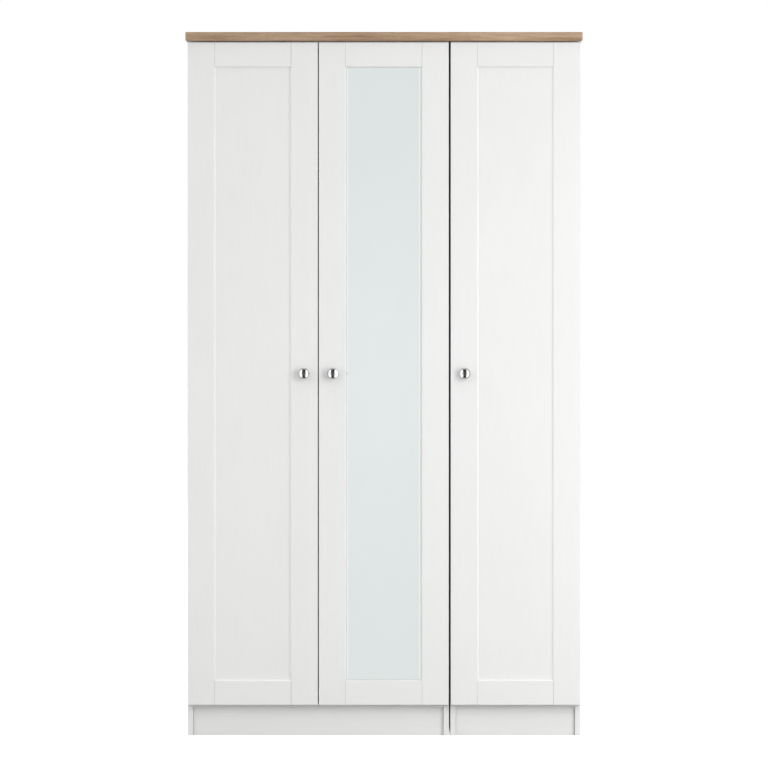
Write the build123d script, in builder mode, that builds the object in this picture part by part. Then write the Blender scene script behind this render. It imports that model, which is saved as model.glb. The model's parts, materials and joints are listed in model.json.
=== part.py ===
"""Triple wardrobe with framed doors.

A double and a single carcass stand side by side under one oak-effect top board. Two
plain doors and a mirrored one hang on concealed single-pivot cup hinges.

Millimetres, +Z up, doors facing -Y. The origin is on the floor, in the middle of the
bounding box.
"""
import os
from dataclasses import dataclass

from build123d import *

# ------------------------------------------------------------------ driving dimensions
HEIGHT = 1970.0
TOP_W = 1112.0
TOP_D = 530.0
TOP_T = 25.0
TOP_EDGE_R = 2.0
TOP_LOWER_R = 5.0
TOP_SIDE_OVERHANG = 6.0
TOP_FRONT_OVERHANG = 10.0

PANEL_T = 15.0
PANEL_EDGE_R = 1.0
UNIT_GAP = 4.0
DOUBLE_W = 732.0
PLINTH_H = 80.0
PLINTH_SETBACK = 12.0
PLINTH_GROOVE_W = 1.2
PLINTH_GROOVE_T = 2.5
REAR_PLINTH_SETBACK = 15.0

BACK_T = 3.0
BACK_INSET = 12.0
GROOVE_D = 6.0
GROOVE_CLEAR = 0.5

SHELF_TOP_Z = 1645.0
SHELF_SETBACK = 25.0
SHELF_CLEAR = 1.0
RAIL_Z = 1575.0
RAIL_TALL = 30.0
RAIL_WIDE = 15.0
RAIL_WALL = 1.2

DOOR_T = 18.0
DOOR_GAP = 3.5
DOOR_INSET = 1.0
PAIR_GAP = 3.0
DOOR_Z0 = 86.5
DOOR_Z1 = 1941.5
STILE_W = 78.0
RAIL_W = 70.0
BEVEL = 3.0
JOINT_LINE = 1.1
DOOR_FRONT_R = 1.0
DOOR_BACK_R = 2.0
DOOR_END_CHAMFER = 0.8
INFILL_T = 6.0
INFILL_SETBACK = 6.0
INFILL_GROOVE = 9.0
GLASS_T = 4.0
GLASS_CLEAR = 0.5
GLASS_BEVEL_W = 3.5
GLASS_BEVEL_T = 1.4

KNOB_R = 16.5
KNOB_OUT = 32.0
KNOB_EDGE = 39.0
KNOB_SCREW_R = 2.0
KNOB_SCREW_BITE = 7.5

# concealed hinges: distances are from the door's hinge edge and its back face
HINGES_PER_DOOR = 4
HINGE_END = 100.0
HINGE_LINE = 37.0
CUP_EDGE = 22.5
CUP_R = 17.5
CUP_DEPTH = 14.0
CUP_WALL = 0.6
CUP_FLANGE_T = 1.0
CUP_FLANGE_R = 19.0
CUP_DOWEL_PITCH = 45.0
CUP_DOWEL_OFFSET = 9.5
CUP_DOWEL_R = 4.0
CUP_DOWEL_L = 11.0
CUP_EAR_W = 12.0
PIVOT_EDGE = 9.5
PIVOT_DEPTH = 10.5
PIVOT_PIN_R = 1.25
PIVOT_PIN_HALF = 9.5
PIVOT_PLAY = 0.05
EYE_R = 2.4
LUG_INNER = 6.5
NECK_T = 1.5
NECK_HALF = 5.0
ARM_HALF = 9.0
ARM_WALL = 1.3
ARM_START = 6.0
ARM_END = 60.0
ARM_OUT = 17.0
PLATE_T = 3.0
PLATE_WING_HALF = 24.0
PLATE_WING_W = 12.0
PLATE_SCREW_Z = 16.0
CLAMP_SCREW_R = 2.0
CLAMP_HEAD_R = 3.5
CLAMP_HEAD_T = 1.5
CLAMP_DEPTHS = (28.0, 50.0)

# fasteners
DOWEL_R = 4.0
DOWEL_IN_SIDE = 10.0
DOWEL_IN_PANEL = 20.0
CAM_R = 7.5
CAM_T = 12.0
CAM_INSET = 34.0
CAM_PIN_R = 3.5
CAM_PIN_THREAD_R = 2.5
CAM_PIN_IN_SIDE = 10.0
SCREW_R = 1.75
SCREW_L = 12.0
SCREW_HEAD_R = 3.5
SCREW_HEAD_T = 2.0
TOP_SCREW_R = 2.0
TOP_SCREW_HEAD_R = 4.0
TOP_SCREW_BITE = 13.0
SHELF_PIN_R = 2.5
SHELF_PIN_IN = 8.0
SHELF_PIN_OUT = 9.0
SHELF_HOLE_PITCH = 32.0
CONNECTOR_R = 4.0
CONNECTOR_HEAD_R = 7.5
CONNECTOR_HEAD_T = 1.5
SPACER_R = 10.0
SOCKET_T = 2.0
SOCKET_L = 58.0
SOCKET_W = 21.0
SOCKET_CUP = 11.0
SOCKET_SCREW_Z = 22.5
RAIL_PLAY = 0.2
BUFFER_R = 3.5
BUFFER_T = 3.2
BUFFER_OFFSET = 12.0

# ------------------------------------------------------------------ derived places
BACK_Y = (TOP_D + KNOB_OUT - TOP_FRONT_OVERHANG) / 2
TOP_FRONT_Y = BACK_Y - TOP_D
DOOR_FRONT_Y = TOP_FRONT_Y + TOP_FRONT_OVERHANG
DOOR_BACK_Y = DOOR_FRONT_Y + DOOR_T
FRONT_Y = DOOR_BACK_Y + DOOR_GAP
DEPTH = BACK_Y - FRONT_Y
BACK_PANEL_Y = BACK_Y - BACK_INSET - BACK_T
SIDE_H = HEIGHT - TOP_T
BASE_Z = PLINTH_H
SUB_TOP_Z = SIDE_H - PANEL_T
CARCASS_W = TOP_W - 2 * TOP_SIDE_OVERHANG
RAIL_Y = (FRONT_Y + BACK_PANEL_Y) / 2
SHELF_Z = SHELF_TOP_Z - PANEL_T
KNOB_Z = (DOOR_Z0 + DOOR_Z1) / 2
INFILL_Z0 = DOOR_Z0 + RAIL_W
INFILL_Z1 = DOOR_Z1 - RAIL_W
HINGE_STEP = (DOOR_Z1 - DOOR_Z0 - 2 * HINGE_END) / (HINGES_PER_DOOR - 1)
HINGE_ZS = [DOOR_Z0 + HINGE_END + i * HINGE_STEP for i in range(HINGES_PER_DOOR)]

DOWEL_YS = (FRONT_Y + 80.0, FRONT_Y + 260.0, BACK_Y - 110.0)
CAM_YS = (FRONT_Y + 45.0, BACK_Y - 60.0)
PLINTH_DOWEL_ZS = (25.0, 55.0)
SHELF_PIN_YS = (FRONT_Y + 75.0, BACK_Y - 75.0)
CONNECTOR_YS = (FRONT_Y + 100.0, BACK_Y - 100.0)
CONNECTOR_ZS = (320.0, 1500.0)


@dataclass
class Unit:
    """One carcass: its name and its outer left and right."""

    name: str
    x0: float
    x1: float
    top_screw_columns: int

    @property
    def inner0(self):
        return self.x0 + PANEL_T

    @property
    def inner1(self):
        return self.x1 - PANEL_T

    @property
    def middle(self):
        return (self.x0 + self.x1) / 2

    @property
    def clear_width(self):
        return self.inner1 - self.inner0

    def inner_faces(self):
        """Each inner side face: its x and the direction that points into the unit."""
        return ((self.inner0, 1), (self.inner1, -1))


@dataclass
class Door:
    """One door: its name, left and right edges, hinged side and whether it is mirrored."""

    name: str
    x0: float
    x1: float
    hinged_left: bool
    mirrored: bool = False

    @property
    def hinge_x(self):
        return self.x0 if self.hinged_left else self.x1

    @property
    def inward(self):
        return 1 if self.hinged_left else -1

    @property
    def knob_x(self):
        return self.x1 - KNOB_EDGE if self.hinged_left else self.x0 + KNOB_EDGE

    @property
    def hinge_places(self):
        return [(self.hinge_x, DOOR_BACK_Y, z) for z in HINGE_ZS]


DOUBLE = Unit("double", -CARCASS_W / 2, -CARCASS_W / 2 + DOUBLE_W, 3)
SINGLE = Unit("single", DOUBLE.x1 + UNIT_GAP, CARCASS_W / 2, 2)
UNITS = (DOUBLE, SINGLE)

LEFT_DOOR = Door("left_door", DOUBLE.x0 + DOOR_INSET, DOUBLE.middle - PAIR_GAP / 2, True)
MIRROR_DOOR = Door("mirror_door", DOUBLE.middle + PAIR_GAP / 2, DOUBLE.x1 - DOOR_INSET, False, True)
RIGHT_DOOR = Door("right_door", SINGLE.x0 + DOOR_INSET, SINGLE.x1 - DOOR_INSET, False)
DOORS = (LEFT_DOOR, MIRROR_DOOR, RIGHT_DOOR)


# ------------------------------------------------------------------ helpers
def save(piece, name):
    """Label a finished sub-part and write it as one STEP file."""
    piece.part.label = name
    export_step(piece.part, f"parts/{name}.step")


def facing_x(x, y, z, way):
    """A plane at a point whose normal points along +X or -X, with its own x axis upright."""
    return Plane(origin=(x, y, z), x_dir=(0, 0, 1), z_dir=(way, 0, 0))


def box_between(x0, x1, y0, y1, z0, z1, mode=Mode.ADD):
    """A rectangular block given by its lowest and highest corners."""
    with BuildSketch(Plane.XY.offset(z0)) as footprint:
        with Locations(((x0 + x1) / 2, (y0 + y1) / 2)):
            Rectangle(x1 - x0, y1 - y0)
    extrude(footprint.sketch, amount=z1 - z0, mode=mode)


def revolved(*outline):
    """A round part about Z, from an outline of (radius, height) points."""
    with BuildPart() as turned:
        with BuildSketch(Plane.XZ):
            with BuildLine():
                Polyline(*outline, close=True)
            make_face()
        revolve(axis=Axis.Z)
    return turned.part


def group_of(piece, places):
    """Copies of one piece as separate solids, one at each place."""
    with BuildPart() as group:
        with Locations(*places):
            add(piece)
    return group


def flipped(piece):
    """The same piece for the other hand."""
    return mirror(piece, about=Plane.YZ)


# ------------------------------------------------------------------ top board
def top_screw_places(unit):
    """Where the top board is screwed down, at the underside of the unit's sub-top."""
    step = (unit.clear_width - 120.0) / (unit.top_screw_columns - 1)
    xs = [unit.inner0 + 60.0 + i * step for i in range(unit.top_screw_columns)]
    ys = (FRONT_Y + 110.0, BACK_Y - 130.0)
    return [(x, y, SUB_TOP_Z) for x in xs for y in ys]


def make_top_board():
    with BuildPart() as top_board:
        box_between(-TOP_W / 2, TOP_W / 2, TOP_FRONT_Y, BACK_Y, SIDE_H, HEIGHT)
        fillet(top_board.edges().filter_by(Axis.Z).group_by(Axis.Y)[0], TOP_LOWER_R)
        for face_index, radius in ((0, TOP_LOWER_R), (-1, TOP_EDGE_R)):
            rim = top_board.faces().sort_by(Axis.Z)[face_index].edges().sort_by(Axis.Y)
            fillet(rim[:-1], radius)
        places = [p for unit in UNITS for p in top_screw_places(unit)]
        with Locations(*[Plane(origin=(x, y, SIDE_H), z_dir=(0, 0, -1)) for x, y, _ in places]):
            Hole(TOP_SCREW_R, TOP_SCREW_BITE)
    save(top_board, "top_board")


def make_top_fixing_screws():
    head_depth = TOP_SCREW_HEAD_R - TOP_SCREW_R
    tip = PANEL_T + TOP_SCREW_BITE
    screw = revolved(
        (0, 0),
        (TOP_SCREW_HEAD_R, 0),
        (TOP_SCREW_R, head_depth),
        (TOP_SCREW_R, tip - 3.0),
        (0, tip - 0.5),
    )
    places = [p for unit in UNITS for p in top_screw_places(unit)]
    save(group_of(screw, places), "top_fixing_screws")


# ------------------------------------------------------------------ carcasses
def hinge_screw_places(unit, way):
    """Mounting plate screw holes in one side of a unit, on the face that points along way."""
    x = unit.inner0 if way > 0 else unit.inner1
    hung = [d for d in DOORS if d.inward == way and unit.x0 <= d.hinge_x <= unit.x1]
    if not hung:
        return []
    y = FRONT_Y + HINGE_LINE
    return [(x, y, z + dz, way) for z in HINGE_ZS for dz in (-PLATE_SCREW_Z, PLATE_SCREW_Z)]


def socket_screw_places(unit, way):
    x = unit.inner0 if way > 0 else unit.inner1
    return [(x, RAIL_Y, RAIL_Z + dz, way) for dz in (-SOCKET_SCREW_Z, SOCKET_SCREW_Z)]


def side_dowel_places(unit, way):
    """Dowels between a side and the base, the sub-top and both plinths."""
    x = unit.inner0 if way > 0 else unit.inner1
    panels = [(x, y, z + PANEL_T / 2) for y in DOWEL_YS for z in (BASE_Z, SUB_TOP_Z)]
    plinth_ys = (
        FRONT_Y + PLINTH_SETBACK + PANEL_T / 2,
        BACK_Y - REAR_PLINTH_SETBACK - PANEL_T / 2,
    )
    plinths = [(x, y, z) for y in plinth_ys for z in PLINTH_DOWEL_ZS]
    return panels + plinths


def cam_pin_places(unit, way):
    x = unit.inner0 if way > 0 else unit.inner1
    return [(x, y, z + PANEL_T / 2) for y in CAM_YS for z in (BASE_Z, SUB_TOP_Z)]


def connector_places():
    return [(y, z) for y in CONNECTOR_YS for z in CONNECTOR_ZS]


def make_side(unit, way):
    """A side panel with its back groove, edge banding radii and every bore."""
    x0 = unit.x0 if way > 0 else unit.inner1
    face_x = unit.inner0 if way > 0 else unit.inner1
    with BuildPart() as side:
        with BuildSketch():
            with Locations((x0 + PANEL_T / 2, (FRONT_Y + BACK_Y) / 2)):
                Rectangle(PANEL_T, DEPTH)
            fillet(vertices().group_by(Axis.Y)[0], PANEL_EDGE_R)
            with Locations((face_x, BACK_PANEL_Y + BACK_T / 2)):
                Rectangle(2 * GROOVE_D, BACK_T, mode=Mode.SUBTRACT)
        extrude(amount=SIDE_H)
        with Locations(*[facing_x(x, y, z, way) for x, y, z in side_dowel_places(unit, way)]):
            Hole(DOWEL_R, DOWEL_IN_SIDE)
        with Locations(*[facing_x(x, y, z, way) for x, y, z in cam_pin_places(unit, way)]):
            Hole(CAM_PIN_THREAD_R, CAM_PIN_IN_SIDE)
        screws = hinge_screw_places(unit, way) + socket_screw_places(unit, way)
        with Locations(*[facing_x(*place) for place in screws]):
            Hole(SCREW_R, SCREW_L)
        rows = [SHELF_Z - SHELF_PIN_R + step * SHELF_HOLE_PITCH for step in (-2, -1, 0, 1, 2)]
        with Locations(*[facing_x(face_x, y, z, way) for y in SHELF_PIN_YS for z in rows]):
            Hole(SHELF_PIN_R, SHELF_PIN_IN)
        if (unit is DOUBLE) == (way < 0):
            with Locations(*[facing_x(face_x, y, z, way) for y, z in connector_places()]):
                Hole(CONNECTOR_R, PANEL_T)
    save(side, f"{unit.name}_{'left' if way > 0 else 'right'}_side")


def make_cross_panel(unit, name, z, groove_up):
    """The base panel or the sub-top: grooved for the back and bored for its fittings."""
    with BuildPart() as panel:
        box_between(unit.inner0, unit.inner1, FRONT_Y, BACK_Y, z, z + PANEL_T)
        fillet(panel.edges().filter_by(Axis.X).group_by(Axis.Y)[0], PANEL_EDGE_R)
        groove_z = z + PANEL_T - GROOVE_D if groove_up else z
        box_between(
            unit.inner0,
            unit.inner1,
            BACK_PANEL_Y,
            BACK_PANEL_Y + BACK_T,
            groove_z,
            groove_z + GROOVE_D,
            mode=Mode.SUBTRACT,
        )
        middle_z = z + PANEL_T / 2
        ends = [(x, -way) for x, way in unit.inner_faces()]
        with Locations(*[facing_x(x, y, middle_z, out) for x, out in ends for y in DOWEL_YS]):
            Hole(DOWEL_R, DOWEL_IN_PANEL)
        with Locations(*[facing_x(x, y, middle_z, out) for x, out in ends for y in CAM_YS]):
            Hole(CAM_PIN_R, CAM_INSET - CAM_R / 2)
        hidden_z = z if groove_up else z + PANEL_T
        outward = (0, 0, -1) if groove_up else (0, 0, 1)
        with Locations(*[Plane(origin=(x, y, hidden_z), z_dir=outward) for x, y in cam_spots(unit)]):
            Hole(CAM_R, CAM_T)
        if not groove_up:
            screws = [Plane(origin=p, z_dir=(0, 0, -1)) for p in top_screw_places(unit)]
            with Locations(*screws):
                CounterSinkHole(TOP_SCREW_R, TOP_SCREW_HEAD_R, PANEL_T, counter_sink_angle=90)
    save(panel, f"{unit.name}_{name}")


def cam_spots(unit):
    """Cam centres in plan, near both ends of a cross panel."""
    return [(x + way * CAM_INSET, y) for x, way in unit.inner_faces() for y in CAM_YS]


def make_back_panel(unit):
    reach = GROOVE_D - GROOVE_CLEAR
    with BuildPart() as back_panel:
        box_between(
            unit.inner0 - reach,
            unit.inner1 + reach,
            BACK_PANEL_Y,
            BACK_PANEL_Y + BACK_T,
            BASE_Z + PANEL_T - reach,
            SUB_TOP_Z + reach,
        )
    save(back_panel, f"{unit.name}_back_panel")


def make_plinth(unit, name, y0):
    """A plinth board between the sides, dowelled at both ends. Its front end edges are cut
    back, so that a fine shadow line shows beside each side."""
    with BuildPart() as plinth:
        box_between(unit.inner0, unit.inner1, y0, y0 + PANEL_T, 0, PLINTH_H)
        for x, way in unit.inner_faces():
            x0, x1 = sorted((x, x + way * PLINTH_GROOVE_W))
            box_between(x0, x1, y0, y0 + PLINTH_GROOVE_T, 0, PLINTH_H, Mode.SUBTRACT)
        ends = [(x, -way) for x, way in unit.inner_faces()]
        y = y0 + PANEL_T / 2
        with Locations(*[facing_x(x, y, z, out) for x, out in ends for z in PLINTH_DOWEL_ZS]):
            Hole(DOWEL_R, DOWEL_IN_PANEL)
    save(plinth, f"{unit.name}_{name}")


def make_shelf(unit):
    with BuildPart() as shelf:
        box_between(
            unit.inner0 + SHELF_CLEAR,
            unit.inner1 - SHELF_CLEAR,
            FRONT_Y + SHELF_SETBACK,
            BACK_PANEL_Y - SHELF_CLEAR,
            SHELF_Z,
            SHELF_TOP_Z,
        )
        fillet(shelf.edges().filter_by(Axis.X).group_by(Axis.Y)[0], PANEL_EDGE_R)
    save(shelf, f"{unit.name}_shelf")


def make_hanging_rail(unit):
    """An oval tube that stands on edge between its two end sockets."""
    start = unit.inner0 + SOCKET_T
    with BuildPart() as rail:
        with BuildSketch(facing_x(start, RAIL_Y, RAIL_Z, 1)):
            SlotOverall(RAIL_TALL, RAIL_WIDE)
            SlotOverall(RAIL_TALL - 2 * RAIL_WALL, RAIL_WIDE - 2 * RAIL_WALL, mode=Mode.SUBTRACT)
        extrude(amount=unit.clear_width - 2 * SOCKET_T)
    save(rail, f"{unit.name}_hanging_rail")


def make_carcass(unit):
    make_side(unit, 1)
    make_side(unit, -1)
    make_cross_panel(unit, "base_panel", BASE_Z, groove_up=True)
    make_cross_panel(unit, "sub_top", SUB_TOP_Z, groove_up=False)
    make_back_panel(unit)
    make_plinth(unit, "plinth", FRONT_Y + PLINTH_SETBACK)
    make_plinth(unit, "rear_plinth", BACK_Y - REAR_PLINTH_SETBACK - PANEL_T)
    make_shelf(unit)
    make_hanging_rail(unit)


# ------------------------------------------------------------------ carcass fittings
def both_faces(places_of):
    """Planes for one kind of fitting on both inner faces of both units."""
    found = []
    for unit in UNITS:
        for _, way in unit.inner_faces():
            found += [facing_x(*place[:3], way) for place in places_of(unit, way)]
    return found


def make_carcass_dowels():
    dowel = revolved(
        (0, -DOWEL_IN_SIDE),
        (DOWEL_R - 1.0, -DOWEL_IN_SIDE),
        (DOWEL_R, 1.0 - DOWEL_IN_SIDE),
        (DOWEL_R, DOWEL_IN_PANEL - 1.0),
        (DOWEL_R - 1.0, DOWEL_IN_PANEL),
        (0, DOWEL_IN_PANEL),
    )
    save(group_of(dowel, both_faces(side_dowel_places)), "carcass_dowels")


def make_cam_pins():
    reach = CAM_INSET - CAM_R - 0.5
    pin = revolved(
        (0, -CAM_PIN_IN_SIDE),
        (CAM_PIN_THREAD_R, -CAM_PIN_IN_SIDE),
        (CAM_PIN_THREAD_R, 0),
        (CAM_PIN_R, 0),
        (CAM_PIN_R, reach),
        (0, reach),
    )
    save(group_of(pin, both_faces(cam_pin_places)), "cam_pins")


def make_cam_locks():
    """Slotted cams, let into the hidden faces of the base panels and the sub-tops."""
    spots = [spot for unit in UNITS for spot in cam_spots(unit)]
    slot_l = 10.0
    slot_w = 1.8
    with BuildPart() as cams:
        for z, way in ((BASE_Z, 1), (SIDE_H, -1)):
            with BuildSketch(Plane.XY.offset(z)):
                with Locations(*spots):
                    Circle(CAM_R)
            extrude(amount=way * CAM_T)
            with BuildSketch(Plane.XY.offset(z)):
                with Locations(*spots):
                    Rectangle(slot_l, slot_w)
                    Rectangle(slot_w, slot_l)
            extrude(amount=way * 2.0, mode=Mode.SUBTRACT)
    save(cams, "cam_locks")


def make_fitting_screws():
    """Pan-head screws of the mounting plates and of the rail sockets."""
    screw = revolved(
        (0, -SCREW_L),
        (SCREW_R, 2.5 - SCREW_L),
        (SCREW_R, 0),
        (SCREW_HEAD_R, 0),
        (SCREW_HEAD_R, SCREW_HEAD_T - 0.9),
        (SCREW_HEAD_R - 1.2, SCREW_HEAD_T),
        (0, SCREW_HEAD_T),
    )
    places = []
    for unit in UNITS:
        for _, way in unit.inner_faces():
            plates = [(x + way * PLATE_T, y, z, way) for x, y, z, _ in hinge_screw_places(unit, way)]
            sockets = [(x + way * SOCKET_T, y, z, way) for x, y, z, _ in socket_screw_places(unit, way)]
            places += [facing_x(*place) for place in plates + sockets]
    save(group_of(screw, places), "fitting_screws")


def make_shelf_pins():
    """Plug-in shelf supports with a thin collar between the shelf end and the side."""
    pin = revolved(
        (0, -SHELF_PIN_IN),
        (SHELF_PIN_R, -SHELF_PIN_IN),
        (SHELF_PIN_R, 0),
        (SHELF_PIN_R + 1.5, 0),
        (SHELF_PIN_R + 1.5, 0.7),
        (SHELF_PIN_R, 0.7),
        (SHELF_PIN_R, SHELF_PIN_OUT - 1.0),
        (SHELF_PIN_R - 1.0, SHELF_PIN_OUT),
        (0, SHELF_PIN_OUT),
    )
    places = [
        facing_x(x, y, SHELF_Z - SHELF_PIN_R, way)
        for unit in UNITS
        for x, way in unit.inner_faces()
        for y in SHELF_PIN_YS
    ]
    save(group_of(pin, places), "shelf_pins")


def make_rail_sockets():
    """Oval end sockets: a screwed plate with a collar that holds the tube."""
    with BuildPart() as socket:
        with BuildSketch():
            SlotOverall(SOCKET_L, SOCKET_W)
            with Locations((-SOCKET_SCREW_Z, 0), (SOCKET_SCREW_Z, 0)):
                Circle(SCREW_R, mode=Mode.SUBTRACT)
        extrude(amount=SOCKET_T)
        with BuildSketch(Plane.XY.offset(SOCKET_T)):
            SlotOverall(RAIL_TALL + 5.0, SOCKET_W - 1.0)
            SlotOverall(
                RAIL_TALL + 2 * RAIL_PLAY, RAIL_WIDE + 2 * RAIL_PLAY, mode=Mode.SUBTRACT
            )
        extrude(amount=SOCKET_CUP)
    places = [
        facing_x(x, RAIL_Y, RAIL_Z, way) for unit in UNITS for x, way in unit.inner_faces()
    ]
    save(group_of(socket.part, places), "rail_sockets")


def make_unit_connectors():
    """Sleeve bolts that pull the two carcasses together, and the spacers between them."""
    half = PANEL_T + UNIT_GAP / 2
    bolt = revolved(
        (0, -half - CONNECTOR_HEAD_T),
        (CONNECTOR_HEAD_R, -half - CONNECTOR_HEAD_T),
        (CONNECTOR_HEAD_R, -half),
        (CONNECTOR_R, -half),
        (CONNECTOR_R, half),
        (CONNECTOR_HEAD_R, half),
        (CONNECTOR_HEAD_R, half + CONNECTOR_HEAD_T),
        (0, half + CONNECTOR_HEAD_T),
    )
    middle_x = DOUBLE.x1 + UNIT_GAP / 2
    places = [facing_x(middle_x, y, z, 1) for y, z in connector_places()]
    save(group_of(bolt, places), "unit_connectors")
    with BuildPart() as spacers:
        for place in places:
            with BuildSketch(place):
                Circle(SPACER_R)
                Circle(CONNECTOR_R, mode=Mode.SUBTRACT)
            extrude(amount=UNIT_GAP / 2, both=True)
    save(spacers, "connector_spacers")


def make_door_buffers():
    """Soft pads on the carcass fronts, behind the free edge of each door."""
    xs = (
        DOUBLE.middle - BUFFER_OFFSET,
        DOUBLE.middle + BUFFER_OFFSET,
        SINGLE.inner0 + BUFFER_OFFSET,
    )
    zs = (BASE_Z + PANEL_T - BUFFER_R - PANEL_EDGE_R, SUB_TOP_Z + BUFFER_R + PANEL_EDGE_R)
    pad = revolved(
        (0, 0),
        (BUFFER_R, 0),
        (BUFFER_R, BUFFER_T - 1.0),
        (BUFFER_R - 1.0, BUFFER_T),
        (0, BUFFER_T),
    )
    places = [Plane(origin=(x, FRONT_Y, z), z_dir=(0, -1, 0)) for x in xs for z in zs]
    save(group_of(pad, places), "door_buffers")


# ------------------------------------------------------------------ hinges
# Each piece is drawn for a left-hung door: X runs in from the door's hinge edge, Y runs
# back from the door's back face and Z is measured from the middle of the hinge.
SIDE_FACE = PANEL_T - DOOR_INSET
PLATE_FACE = SIDE_FACE + PLATE_T
HINGE_LINE_Y = DOOR_GAP + HINGE_LINE
ARM_FAR = PLATE_FACE + ARM_OUT - PLATE_T


def hinge_arm():
    """A channel over the mounting plate whose gooseneck wraps the pivot pin in the cup."""
    neck_x = PLATE_FACE + 1.8
    with BuildPart() as arm:
        with BuildSketch(Plane.XY.offset(-NECK_HALF)):
            with BuildLine():
                FilletPolyline(
                    (PIVOT_EDGE, -PIVOT_DEPTH),
                    (PIVOT_EDGE + 15.5, -PIVOT_DEPTH - 0.8),
                    (PIVOT_EDGE + 14.5, -PIVOT_DEPTH + 7.0),
                    (neck_x, DOOR_GAP - 0.7),
                    (neck_x, ARM_START + ARM_WALL / 2),
                    radius=2.2,
                )
            trace(line_width=NECK_T)
            with Locations((PIVOT_EDGE, -PIVOT_DEPTH)):
                Circle(EYE_R)
                Circle(PIVOT_PIN_R + PIVOT_PLAY, mode=Mode.SUBTRACT)
        extrude(amount=2 * NECK_HALF)
        box_between(PLATE_FACE, ARM_FAR, ARM_START, ARM_END, -ARM_HALF, ARM_HALF)
        far_edges = arm.edges().filter_by(Axis.Z).group_by(Axis.X)[-1]
        fillet(far_edges, 3.0)
        box_between(
            PLATE_FACE,
            ARM_FAR - ARM_WALL,
            ARM_START + ARM_WALL,
            ARM_END + ARM_WALL,
            ARM_WALL - ARM_HALF,
            ARM_HALF - ARM_WALL,
            mode=Mode.SUBTRACT,
        )
        with Locations(*[facing_x(ARM_FAR, y, 0, 1) for y in CLAMP_DEPTHS]):
            Hole(CLAMP_SCREW_R, 2 * ARM_WALL)
    return arm.part


def rib_half():
    return ARM_HALF - ARM_WALL - 0.2


def mounting_plate():
    """A cross-shaped plate with a rib that carries the arm."""
    rib_out = ARM_FAR - ARM_WALL - 2.0
    with BuildPart() as plate:
        box_between(SIDE_FACE, PLATE_FACE, 20.0, ARM_END, -ARM_HALF, ARM_HALF)
        box_between(
            SIDE_FACE,
            PLATE_FACE,
            HINGE_LINE_Y - PLATE_WING_W / 2,
            HINGE_LINE_Y + PLATE_WING_W / 2,
            -PLATE_WING_HALF,
            PLATE_WING_HALF,
        )
        box_between(PLATE_FACE, rib_out, 20.0, ARM_END - 2.0, -rib_half(), rib_half())
        wing_screws = [
            facing_x(PLATE_FACE, HINGE_LINE_Y, dz, 1) for dz in (-PLATE_SCREW_Z, PLATE_SCREW_Z)
        ]
        with Locations(*wing_screws):
            Hole(SCREW_R, 2 * PLATE_T)
        with Locations(*[facing_x(rib_out, y, 0, 1) for y in CLAMP_DEPTHS]):
            Hole(CLAMP_SCREW_R, 6.0)
    return plate.part


def clamp_screws():
    """The clamping and the side adjusting screw of one hinge."""
    bite = ARM_WALL + 2.0 + 5.5
    screw = revolved(
        (0, -bite),
        (CLAMP_SCREW_R, -bite),
        (CLAMP_SCREW_R, 0),
        (CLAMP_HEAD_R, 0),
        (CLAMP_HEAD_R - 0.6, CLAMP_HEAD_T),
        (0, CLAMP_HEAD_T),
    )
    return group_of(screw, [facing_x(ARM_FAR, y, 0, 1) for y in CLAMP_DEPTHS]).part


def hinge_cup():
    """A flanged cup with two press-in dowels and the lugs that hold the pivot pin."""
    back = Plane.XZ
    ear_x = CUP_EDGE + CUP_DOWEL_OFFSET
    with BuildPart() as cup:
        with BuildSketch(back):
            with Locations((CUP_EDGE, 0)):
                Circle(CUP_R)
        extrude(amount=CUP_DEPTH)
        with BuildSketch(back.offset(-CUP_FLANGE_T)):
            with Locations((CUP_EDGE, 0)):
                Circle(CUP_FLANGE_R)
            with Locations((ear_x, 0)):
                SlotCenterToCenter(CUP_DOWEL_PITCH, CUP_EAR_W, rotation=90)
        extrude(amount=CUP_FLANGE_T)
        with BuildSketch(back):
            with Locations((ear_x, CUP_DOWEL_PITCH / 2), (ear_x, -CUP_DOWEL_PITCH / 2)):
                Circle(CUP_DOWEL_R)
        extrude(amount=CUP_DOWEL_L)
        with BuildSketch(back.offset(-CUP_FLANGE_T)):
            with Locations((CUP_EDGE, 0)):
                Circle(CUP_R - CUP_WALL)
        extrude(amount=CUP_DEPTH + CUP_FLANGE_T - CUP_WALL, mode=Mode.SUBTRACT)
        for way in (-1, 1):
            low, high = sorted((way * LUG_INNER, way * PIVOT_PIN_HALF))
            box_between(
                PIVOT_EDGE - 1.6,
                PIVOT_EDGE + 3.0,
                CUP_WALL / 2 - CUP_DEPTH,
                PIVOT_PIN_R + 1.0 - PIVOT_DEPTH,
                low,
                high,
            )
        with Locations((PIVOT_EDGE, -PIVOT_DEPTH, PIVOT_PIN_HALF)):
            Hole(PIVOT_PIN_R, 2 * PIVOT_PIN_HALF)
    return cup.part


def pivot_pin():
    with BuildPart() as pin:
        with Locations((PIVOT_EDGE, -PIVOT_DEPTH, 0)):
            Cylinder(PIVOT_PIN_R, 2 * PIVOT_PIN_HALF)
    return pin.part


def make_carcass_hinge_parts():
    """Arms, plates and clamp screws of every hinge, all fixed to the carcasses."""
    for name, piece in (
        ("hinge_arms", hinge_arm()),
        ("hinge_mounting_plates", mounting_plate()),
        ("hinge_clamp_screws", clamp_screws()),
    ):
        other_hand = flipped(piece)
        with BuildPart() as group:
            for door in DOORS:
                with Locations(*door.hinge_places):
                    add(piece if door.hinged_left else other_hand)
        save(group, name)


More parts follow.
